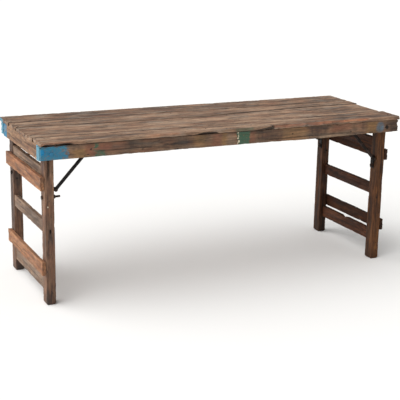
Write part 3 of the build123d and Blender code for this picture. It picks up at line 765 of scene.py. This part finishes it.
# ---------------------------------------------------------------- the frame under the planks
RAIL_TINTS = {  # mm from and to along, mm from and to up, strength
    "ochre": ((-780, -712, 680, 720, 0.6), (-205, -138, 680, 742, 0.35), (-58, -30, 680, 742, 0.5),
              (268, 402, 680, 742, 0.3), (745, 812, 684, 742, 0.55)),
    "russet": ((-730, -690, 688, 742, 0.75), (-672, -600, 708, 742, 0.75), (-600, -530, 700, 742, 0.3),
               (-102, -58, 680, 742, 0.55), (96, 122, 690, 742, 0.5), (545, 655, 706, 742, 0.5)),
    "soot": ((-790, -740, 716, 742, 0.7), (-530, -384, 698, 742, 0.6), (-302, -205, 684, 742, 0.7),
             (122, 262, 684, 742, 0.75), (402, 520, 692, 742, 0.85), (650, 752, 694, 742, 0.5),
             (868, 940, 670, 742, 0.8)),
    "chalky": ((480, 652, 676, 694, 0.7), (-384, -300, 676, 690, 0.4), (-30, 10, 684, 736, 0.4)),
}
RAIL_DENTS = ((-700, 716, 5), (-455, 699, 4), (322, 712, 4), (655, 700, 5))  # mm along, mm up, half width
CREAM_SPOTS = (  # place and half size in mm
    ((26, 737), (4, 3)), ((29, 722), (3, 7)), ((25, 711), (5, 3)), ((30, 697), (5, 6)), ((24, 688), (4, 3)),
)
PAINTED_BOSS = (-924.5, 716.5), (11.5, 13)  # place and half size in mm
SLATE_SPOT = (829, 708), (24, 29)


class FOLDINGTABLE_OT_rails(bpy.types.Operator):
    """Make the two long rails, with worn corners, a torn end and what is left of their paint"""
    bl_idname = "folding_table.rails"
    bl_label = "Long rails"

    def execute(self, context):
        values = timber()
        material = shared_material(
            "painted_hardwood_rail", aged_timber, "#33241c", "#6b503c", "#8d6c52", "#776758", "#7a4934",
            stain=0.6, silvering=0.5,
            tints=(("ochre", "#94703c"), ("russet", "#7c4835"), ("soot", "#2a2421"), ("chalky", "#a58d74"),
                   ("slate", "#4c7084")),
            paints=(("blue", values.blue, "#437d8c"), ("cobalt", "#06709f", "#1285b4"),
                    ("green", values.green, "#4d5f48"), *CREAM, *PALE_BLUE))
        for depth in DEPTHS:
            name, front = depth + "_rail", depth == "front"
            low, high = node_box(name)
            along = stations(-0.9385 if front else -0.9335, 0.9355 if front else high[0], 4.6)
            grow = values.grow * MM
            sag = 2.6 * MM * smooth(along, 0.2, 0.32) * smooth(along, 0.66, 0.5) * front
            rail = Board("x", along, (low[1] - grow, high[1] + grow), (low[2] - 1.6 * grow - sag, high[2]),
                         values.corner, (10, 20), 11 if front else 12)
            sign = -1 if front else 1
            rail.weather(values.ridge * 1.3, values.lump * 1.2, values.chip)
            if front:
                # the lower corner at the right end is broken off along a curve
                share = np.clip((along - 0.9) / 0.034, 0, 1)
                deep = (13 * share + 21 * share ** 2) * MM
                rail.w = rail.w + np.maximum(rail.w_low + deep[:, None] - rail.w, 0) * (rail.normal[1] < -0.2)
            uneven = 1 + 0.6 * rough_line(along, 45, 55)
            for at_low_w in (False, True):
                rail.cut_corner(front, at_low_w, 2.2 * MM * uneven, 1.6 * MM * uneven)
            outward = rail.normal[0] * sign > 0.3
            if front:
                self.stain_front(rail, outward)
                self.paint_front(rail, outward)
                rail.dent(*PAINTED_BOSS, -2.4, (sign, 0), dirt_and_shade=0.0)
            else:
                self.paint_back(rail, outward)
            for place, height, size in RAIL_DENTS:
                rail.dent((place, height), (size, size), 3.0, (sign, 0), dirt_and_shade=0.9)
            rail.split((-700, -380), 0.705, 1.6, 2.6, face=0)
            rail.split((150, 700), 0.694, 1.8, 2.8, face=0)
            rail.ragged((2.0, 7.0) if front else (3.0, 4.0), 8.0 if front else 0.0, (9, 5))
            rail.build(name, "tabletop", material, "rail_wood")
        return {"FINISHED"}

    def stain_front(self, rail, outward):
        """Lay the old stains on the front rail. The back rail has none."""
        x, z = rail.u / MM, rail.w / MM
        edge = self.paint_edge(rail)
        stripes = 0.55 + 0.9 * rough(rail.u, rail.v, rail.w, (11, 60, 60), 150)
        for key, patches in RAIL_TINTS.items():
            total = 0 * x
            for start, end, low, high, amount in patches:
                band = (window(x + edge, start, end, min(0.3 * (end - start), 18))
                        * window(z + edge / 3, low, high, 6))
                total = np.maximum(total, band * amount)
            if key == "soot":
                total = total * np.clip(stripes, 0.25, 1)
            rail.paint(key, total * outward)

    def paint_edge(self, rail):
        """How far in mm the edge of a patch wanders at each point."""
        return 14 * rough(rail.u, rail.v, rail.w, (34, 17, 17), 140)

    def paint_front(self, rail, outward):
        """Say where each colour still holds on the front rail."""
        x, z, edge = rail.u / MM, rail.w / MM, self.paint_edge(rail)
        faded = 1 - 0.25 * smooth(x, -850, -800)
        corner = smooth(oval(rail.u, rail.w, (-812, 716), (26, 30)), 1.25, 0.8)
        rounded = np.where((x > -812) & (z > 716), corner, 1)
        rail.paint("blue", smooth(x + 0.6 * edge, -788, -806) * rounded * faded * outward * 0.65)
        rail.paint("cobalt", smooth(oval(rail.u, rail.w, *PAINTED_BOSS), 1.5, 0.6) * outward)
        rail.paint("pale_blue", smooth(x, -930.5, -934))
        patchy = 0.8 + 0.5 * rough(rail.u, rail.v, rail.w, (14, 9, 9), 170) - 0.25 * smooth(z, 708, 684)
        spot = smooth(oval(rail.u, rail.w, *SLATE_SPOT) + 0.02 * edge, 1.5, 0.2)
        rail.paint("slate", spot * outward * np.clip(patchy, 0, 1))
        rail.lay_dirt_and_shade(0.42 * smooth(x + edge, 866, 900) * outward)
        teal = smooth(x + edge, -694, -686) * smooth(x + edge, -664, -674) * smooth(z, 712, 722)
        low_green = smooth(x + edge, -690, -680) * smooth(x + edge, -618, -640) * smooth(z, 716, 706)
        middle = smooth(x + edge, 14, 24) * smooth(x + edge, 98, 88)
        rail.paint("green", np.maximum(teal * 0.6, np.maximum(low_green * 0.58, middle * 0.66)) * outward)
        for place, size in CREAM_SPOTS:
            rail.paint("cream", smooth(oval(rail.u, rail.w, place, size), 2.0, 0.5) * outward * 0.85)

    def paint_back(self, rail, outward):
        """Say where each colour still holds on the back rail."""
        x, edge = rail.u / MM, self.paint_edge(rail)
        rail.paint("pale_blue", smooth(x, -920, -930) * 0.95)
        rail.paint("blue", smooth(x + edge, -780, -830) * outward * 0.8)
        rail.paint("green", smooth(x + edge, 300, 330) * smooth(x + edge, 420, 390) * outward * 0.6)


END_BOARD_TONE = (0.03, -0.08)


class FOLDINGTABLE_OT_end_boards(bpy.types.Operator):
    """Make the boards across the two ends"""
    bl_idname = "folding_table.end_boards"
    bl_label = "End boards"

    def execute(self, context):
        values = timber()
        material = shared_material("sawn_hardwood_end_board", aged_timber, "#573d2b", "#816148", "#9a7a5e",
                                   "#866f5d", "#8c5c45", stain=0.35, silvering=0.4,
                                   paints=(("blue", values.blue, "#35809a"), *PALE_BLUE))
        for number, side in enumerate(SIDES):
            name = side + "_end_board"
            low, high = node_box(name)
            face = -1 if side == "left" else 1
            board = worn_board(stations(low[1], high[1]), (low[2], high[2]), (low[0], high[0]), (22, 6),
                               21 + number, END_BOARD_TONE[number],
                               (((-240, -20), 0.716, 2.2, face), ((40, 270), 0.697, 2.2, face)))
            if side == "left":
                y, outer = board.u / MM, board.normal[1] < -0.3
                edge = 3 * rough(board.u, board.v, board.w, (30, 12, 12), 160)
                board.paint("pale_blue", smooth(y + edge, -254, -260) * outer * 0.75)
                board.paint("blue", smooth(y + edge, 226, 236) * outer * 0.62)
            board.build(name, "tabletop", material, "end_board_wood")
        return {"FINISHED"}


class FOLDINGTABLE_OT_battens(bpy.types.Operator):
    """Make the two battens under the middle of the planks"""
    bl_idname = "folding_table.battens"
    bl_label = "Battens"

    def execute(self, context):
        for number, side in enumerate(SIDES):
            name = side + "_batten"
            low, high = node_box(name)
            board = worn_board(stations(low[1], high[1]), (low[2], high[2]), (low[0], high[0]), (12, 14),
                               25 + number)
            board.build(name, "tabletop", wood("sawn_hardwood_batten"), "rail_wood")
        return {"FINISHED"}


# ---------------------------------------------------------------- the leg frames
POST_TONE = (0.0, -0.11, 0.02, -0.15)
POST_BITES = {  # mm up the post, mm across, size, which face
    # each bite is darkened inside: painted shade in the hole as well as grime
    "left_front": ((346, -882, (11, 5), 9.0, (-1, 0)), (618, -868, (4, 3), 3.0, (-1, 0))),
    "left_back": ((470, -886, (6, 6), 4.0, (-1, 0)),),
    "right_front": ((330, 860, (5, 4), 3.0, (-1, 0)),),
    "right_back": ((470, 872, (6, 6), 4.0, (-1, 0)),),
}


class FOLDINGTABLE_OT_posts(bpy.types.Operator):
    """Make the four posts, round at the top about their pivots and rubbed round at the feet"""
    bl_idname = "folding_table.posts"
    bl_label = "Leg posts"

    def execute(self, context):
        values = timber()
        for number, (side, depth) in enumerate(itertools.product(SIDES, DEPTHS)):
            name = f"{side}_{depth}_post"
            low, high = node_box(name)
            middle = (low[0] + high[0]) / 2
            half = (high[0] - low[0]) / 2
            pivot = high[2] - half
            top = pivot + half * np.sin(np.linspace(0, 1.48, 14))
            along = np.concatenate([np.linspace(low[2], low[2] + 10 * MM, 7)[:-1],
                                    stations(low[2] + 10 * MM, pivot, 4.5)[:-1], top])
            round_top = np.sqrt(np.maximum(half ** 2 - np.maximum(along - pivot, 0) ** 2, 1e-8))
            foot = 4.5 * MM * np.clip(1 - (along - low[2]) / (9 * MM), 0, 1) ** 2
            waver = 1.2 * MM * (0.5 + 0.5 * rough_line(along, 130, 60 + number))
            reach = round_top - foot - waver * (along < pivot)
            v_range = (np.full(along.shape, low[1]) + foot + waver * 0.5,
                       np.full(along.shape, high[1]) - foot - waver * 0.5)
            radius = np.minimum(values.corner * 1.6, reach * 0.6)
            post = Board("z", along, v_range, (middle - reach, middle + reach), radius, flat=(26, 20),
                         seed=31 + number)
            post.marks["tone"][:] = POST_TONE[number]
            for height, across, size, depth_mm, face in POST_BITES[f"{side}_{depth}"]:
                post.dent((height, across), size, depth_mm, face, dirt_and_shade=1.0)
            if (side, depth) == ("left", "front"):
                # a wide crack, darkened fully inside: painted shade in the slot as well as grime
                post.split((560, 745), -0.887, 5.0, 9.0, face=0)
            else:
                post.split((380, 640), middle + 4 * MM, 1.4, 2.6, face=0 if depth == "front" else 1)
            post.split((120, 420), low[1] + 20 * MM, 1.5, 2.4, face=-1 if side == "left" else 1)
            post.weather(values.ridge, values.lump, values.chip * 1.1)
            if (side, depth) == ("left", "front"):
                nail = smooth(oval(post.u, post.w, (461, -893), (4, 4)), 1.6, 0.4)
                post.paint("cream", nail * (post.normal[0] < -0.5) * 0.8)
                # the top of this post, under the rail, and its inner edge there are darkened: painted shade
                # beside the crack
                edge = smooth(post.w, -0.868, -0.86) * smooth(post.u, 0.6, 0.66)
                post.lay_dirt_and_shade(0.2 * smooth(post.u, 0.58, 0.7) + 0.5 * edge)
            post.lay_dirt_and_shade(smooth(along, 0.09, 0.0)[:, None] * 0.35)
            post.build(name, side + "_leg_frame", wood("oiled_hardwood_post_" + side), "leg_wood")
        return {"FINISHED"}


RUNG_TUCK = 3 * MM  # length of a rung that is inside each post
RUNG_TONE = (0.02, 0.0, 0.04, -0.03, 0.0, 0.03)


class FOLDINGTABLE_OT_rungs(bpy.types.Operator):
    """Make the three cross pieces of each leg frame, with their ends let into the posts"""
    bl_idname = "folding_table.rungs"
    bl_label = "Rungs"

    def execute(self, context):
        inner = node_box("left_back_post")[0][1]
        for number, (side, part) in enumerate(itertools.product(SIDES, RUNGS)):
            name = f"{side}_{part}"
            low, high = node_box(name)
            along = stations(-inner - RUNG_TUCK, inner + RUNG_TUCK)
            board = worn_board(along, (low[2], high[2]), (low[0], high[0]), (18, 6), 41 + number,
                               RUNG_TONE[number],
                               (((-180, 160), (low[2] + high[2]) / 2, 2.4, -1),), 1.2, (0.0, 0.0))
            if name == "right_lower_rung":
                bite = 9 * MM * np.exp(-((along - 0.02) / (22 * MM)) ** 2)
                board.cut_corner(False, True, bite * 1.2, bite * 2.6)
                board.cut_corner(False, False, bite * 1.2, bite * 2.6)
            board.build(name, side + "_leg_frame", wood("planed_hardwood_rung_" + side), "leg_wood")
        return {"FINISHED"}


CROSSBOARD_TONE = (-0.08, 0.02, 0.0, -0.02)


class FOLDINGTABLE_OT_crossboards(bpy.types.Operator):
    """Make the boards nailed across the outer faces of the posts"""
    bl_idname = "folding_table.crossboards"
    bl_label = "Crossboards"

    def execute(self, context):
        for number, (side, part) in enumerate(itertools.product(SIDES, BOARDS)):
            name = f"{side}_{part}"
            low, high = node_box(name)
            along = stations(low[1], high[1], 4.6)
            dip = 2.2 * MM * (0.5 + 0.5 * rough_line(along, 150, 70 + number))
            outer = -1 if side == "left" else 1
            board = worn_board(along, (low[2] + dip * 0.6, high[2] - dip), (low[0], high[0]), (20, 5),
                               51 + number, CROSSBOARD_TONE[number],
                               (((-200, 60), low[2] * 0.4 + high[2] * 0.6, 2.4, outer),
                                ((0, 250), low[2] * 0.7 + high[2] * 0.3, 2.4, outer)),
                               1.4, (4.0, 5.0), (14, 6))
            board.build(name, side + "_leg_frame", wood("planed_hardwood_crossboard_" + side),
                        "crossboard_wood")
        return {"FINISHED"}


# ---------------------------------------------------------------- ironwork
PAINTED_OVER = (-0.8, -0.3, "#1c6c90")  # limits of x and y in metres, and the colour
IRONS = {  # dark, light and rust, rusting, roughness, paint
    "forged_black_iron": ("#131110", "#2b2826", "#3f2a1e", 0.25, 0.48),
    "rusted_forged_iron": ("#15100d", "#241a15", "#33211a", 0.6, 0.6),
    "rusted_bolt_iron": ("#1f1b19", "#39322d", "#5a3a28", 0.55, 0.55),
    "painted_bolt_iron": ("#1f1b19", "#39322d", "#5a3a28", 0.55, 0.55, PAINTED_OVER),
    "rusted_nail_iron": ("#2a211c", "#463a33", "#6a4330", 0.8, 0.6),
    "painted_nail_iron": ("#2a211c", "#463a33", "#6a4330", 0.8, 0.6, PAINTED_OVER),
}


def cover_nodes(iron, *names):
    """Give the iron of that name to CAD nodes that stay in sight."""
    for name in names:
        cover_node(name, shared_material(iron, smithed_iron, *IRONS[iron]))


class FOLDINGTABLE_OT_ironwork(bpy.types.Operator):
    """Finish the stays, brackets, hooks, bolts, washers and nuts as forged black iron"""
    bl_idname = "folding_table.ironwork"
    bl_label = "Ironwork"

    def execute(self, context):
        for side, depth in itertools.product(SIDES, DEPTHS):
            corner = f"{side}_{depth}_"
            cover_nodes("forged_black_iron" if side == "left" else "rusted_forged_iron", corner + "stay")
            cover_nodes("forged_black_iron", corner + "bracket", corner + "hook")
        for side in SIDES:
            cover_nodes("rusted_bolt_iron", side + "_stay_rivets", side + "_bracket_bolts",
                        side + "_bracket_nuts")
        cover_nodes("rusted_bolt_iron", "leg_pivot_washers", "leg_pivot_nuts")
        cover_nodes("painted_bolt_iron", "leg_pivot_bolts")
        return {"FINISHED"}


class FOLDINGTABLE_OT_nails(bpy.types.Operator):
    """Finish the nails and the hook screws as rusted iron"""
    bl_idname = "folding_table.nails"
    bl_label = "Nails and screws"

    def execute(self, context):
        cover_nodes("rusted_nail_iron", "top_nails", "left_crossboard_nails", "right_crossboard_nails",
                    "hook_screws")
        cover_nodes("painted_nail_iron", "rail_nails")
        return {"FINISHED"}


# ---------------------------------------------------------------- the stage
def camera_matrix(place, yaw, pitch, roll):
    """Camera placement from its yaw off +Y towards +X, its pitch above level and its roll."""
    forward = Vector((math.sin(yaw) * math.cos(pitch), math.cos(yaw) * math.cos(pitch), math.sin(pitch)))
    right = Vector((math.cos(yaw), -math.sin(yaw), 0))
    up = right.cross(forward)
    tilted = math.cos(roll) * right + math.sin(roll) * up
    up = math.cos(roll) * up - math.sin(roll) * right
    matrix = Matrix((tilted, up, -forward)).transposed().to_4x4()
    matrix.translation = place
    return matrix


def broad_light(name, direction, angle, strength):
    """A light from far off that covers a wide angle, as from a large diffuser."""
    light = bpy.data.lights.new(name, "SUN")
    light.angle = angle
    light.energy = strength
    obj = bpy.data.objects.new(name, light)
    obj.rotation_euler = (-Vector(direction)).to_track_quat("-Z", "Y").to_euler()
    bpy.context.scene.collection.objects.link(obj)


FLOOR_REACH = 30.0  # metres from the middle to each side


class FOLDINGTABLE_OT_stage(bpy.types.Operator):
    """Make the pale floor, the soft studio light and the camera"""
    bl_idname = "folding_table.stage"
    bl_label = "Stage"

    def execute(self, context):
        values = context.scene.folding_table_stage
        scene = context.scene
        corners = FLOOR_REACH * np.array([[-1, -1, 0], [1, -1, 0], [1, 1, 0], [-1, 1, 0]])
        floor = mesh_object("studio_floor", corners, np.array([[0, 1, 2, 3]]))
        material, tree, output = new_material("matt_studio_paper")
        # Matt white paper sweep: an even pale ground with no sheen.
        place = add(tree, "TexCoord").outputs["Object"]
        tooth = add(tree, "TexNoise", Vector=place, Scale=300.0).outputs["Fac"]
        bump = add(tree, "Bump", Strength=0.05, Distance=0.2 * MM, Height=tooth).outputs[0]
        paper = linear("#f7f6f4")
        shader = add(tree, "BsdfPrincipled", Base_Color=paper, Roughness=0.9, Normal=bump)
        tree.links.new(shader.outputs[0], output.inputs["Surface"])
        floor.data.materials.append(material)
        world = bpy.data.worlds.new("studio_room")
        world.use_nodes = True
        scene.world = world
        backdrop = world.node_tree.nodes["Background"]
        backdrop.inputs["Color"].default_value = linear("#ffffff")
        backdrop.inputs["Strength"].default_value = values.sky
        broad_light("key_light", values.key_from, values.key_width, values.key)
        camera = bpy.data.cameras.new("camera")
        camera.lens = values.focal
        camera.sensor_width = 36.0
        camera.clip_end = 200.0
        obj = bpy.data.objects.new("camera", camera)
        obj.matrix_world = camera_matrix(Vector(values.place), *values.turn)
        scene.collection.objects.link(obj)
        scene.camera = obj
        scene.view_settings.view_transform = "Standard"
        return {"FINISHED"}


class FOLDINGTABLE_PT_pieces(bpy.types.Panel):
    """Sidebar list of the pieces and their settings"""
    bl_idname = "FOLDINGTABLE_PT_pieces"
    bl_label = "Folding table"
    bl_space_type = "VIEW_3D"
    bl_region_type = "UI"
    bl_category = "Folding table"

    def draw(self, context):
        for operator in OPERATORS:
            self.layout.operator(operator.bl_idname)
        for group in (context.scene.folding_table_timber, context.scene.folding_table_stage):
            box = self.layout.box()
            for key in group.__annotations__:
                box.prop(group, key)


OPERATORS = (FOLDINGTABLE_OT_stage, FOLDINGTABLE_OT_planks, FOLDINGTABLE_OT_rails, FOLDINGTABLE_OT_end_boards,
             FOLDINGTABLE_OT_battens, FOLDINGTABLE_OT_posts, FOLDINGTABLE_OT_rungs,
             FOLDINGTABLE_OT_crossboards, FOLDINGTABLE_OT_ironwork, FOLDINGTABLE_OT_nails)
CLASSES = (FoldingTableTimber, FoldingTableStage, *OPERATORS, FOLDINGTABLE_PT_pieces)


def register():
    for item in CLASSES:
        bpy.utils.register_class(item)
    bpy.types.Scene.folding_table_timber = bpy.props.PointerProperty(type=FoldingTableTimber)
    bpy.types.Scene.folding_table_stage = bpy.props.PointerProperty(type=FoldingTableStage)


def unregister():
    del bpy.types.Scene.folding_table_stage
    del bpy.types.Scene.folding_table_timber
    for item in reversed(CLASSES):
        bpy.utils.unregister_class(item)


def main():
    register()
    for operator in OPERATORS:
        group, name = operator.bl_idname.split(".")
        if getattr(getattr(bpy.ops, group), name)() != {"FINISHED"}:
            raise RuntimeError(operator.bl_label + " was not finished")


if __name__ == "__main__":
    main()
